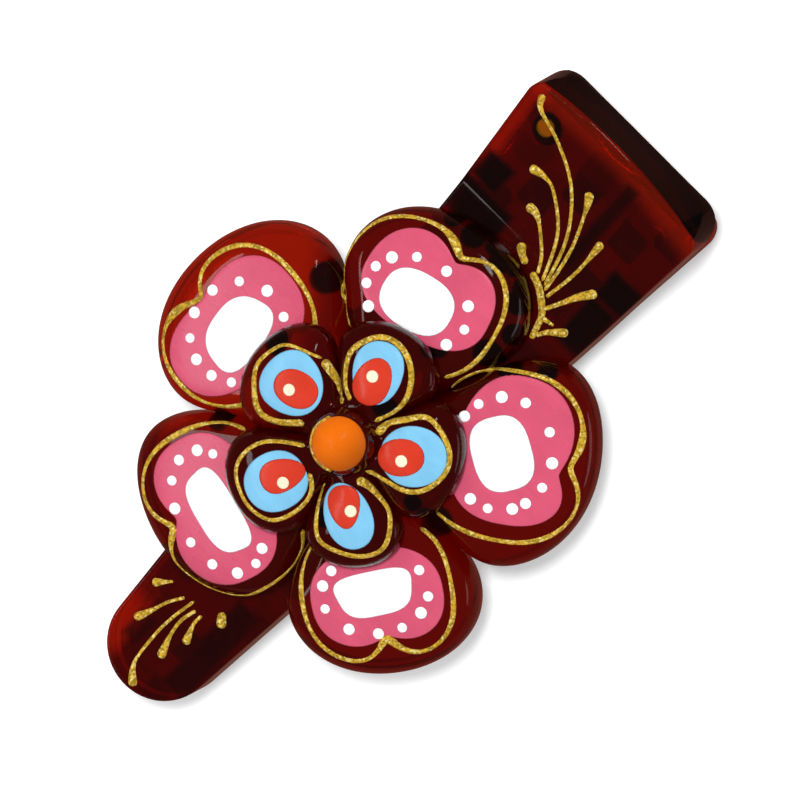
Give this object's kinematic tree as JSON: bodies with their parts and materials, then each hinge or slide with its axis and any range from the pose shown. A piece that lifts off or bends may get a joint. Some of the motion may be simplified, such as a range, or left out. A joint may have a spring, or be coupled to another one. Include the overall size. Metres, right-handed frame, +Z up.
{
  "type": "hair clip",
  "caption": "Sprung tortoiseshell hair clip with toothed tapered jaws, a rising thumb lever and a domed, painted flower on top.",
  "frame": {"origin": "on the flat underside of the lower jaw, straight below the middle of the flower", "axes": "+X from the tip towards the thumb lever, +Y to the left of it, +Z up through the flower"},
  "size_m": [0.0995, 0.0588, 0.024],
  "materials": {
    "tortoise_lower": "polished",
    "tortoise_upper": "polished",
    "tortoise_flower": "polished",
    "bead": "glossy enamel",
    "steel": "drawn wire"
  },
  "bodies": {
    "lower": {"lower_jaw": "tortoise_lower", "hinge_pin": "steel", "torsion_spring": "steel"},
    "upper": {"upper_jaw": "tortoise_upper", "flower": "tortoise_flower", "blossom": "tortoise_flower", "centre_bead": "bead"}
  },
  "joints": [
    {"name": "jaw_hinge", "type": "hinge", "parent": "lower", "child": "upper", "pos_m": [0.0285, 0, 0.0049], "axis": [0, 1, 0], "range_deg": [0, 14], "stiffness_Nm_per_rad": 0.25, "springref_deg": -34.38, "deforming": ["torsion_spring"]}
  ]
}
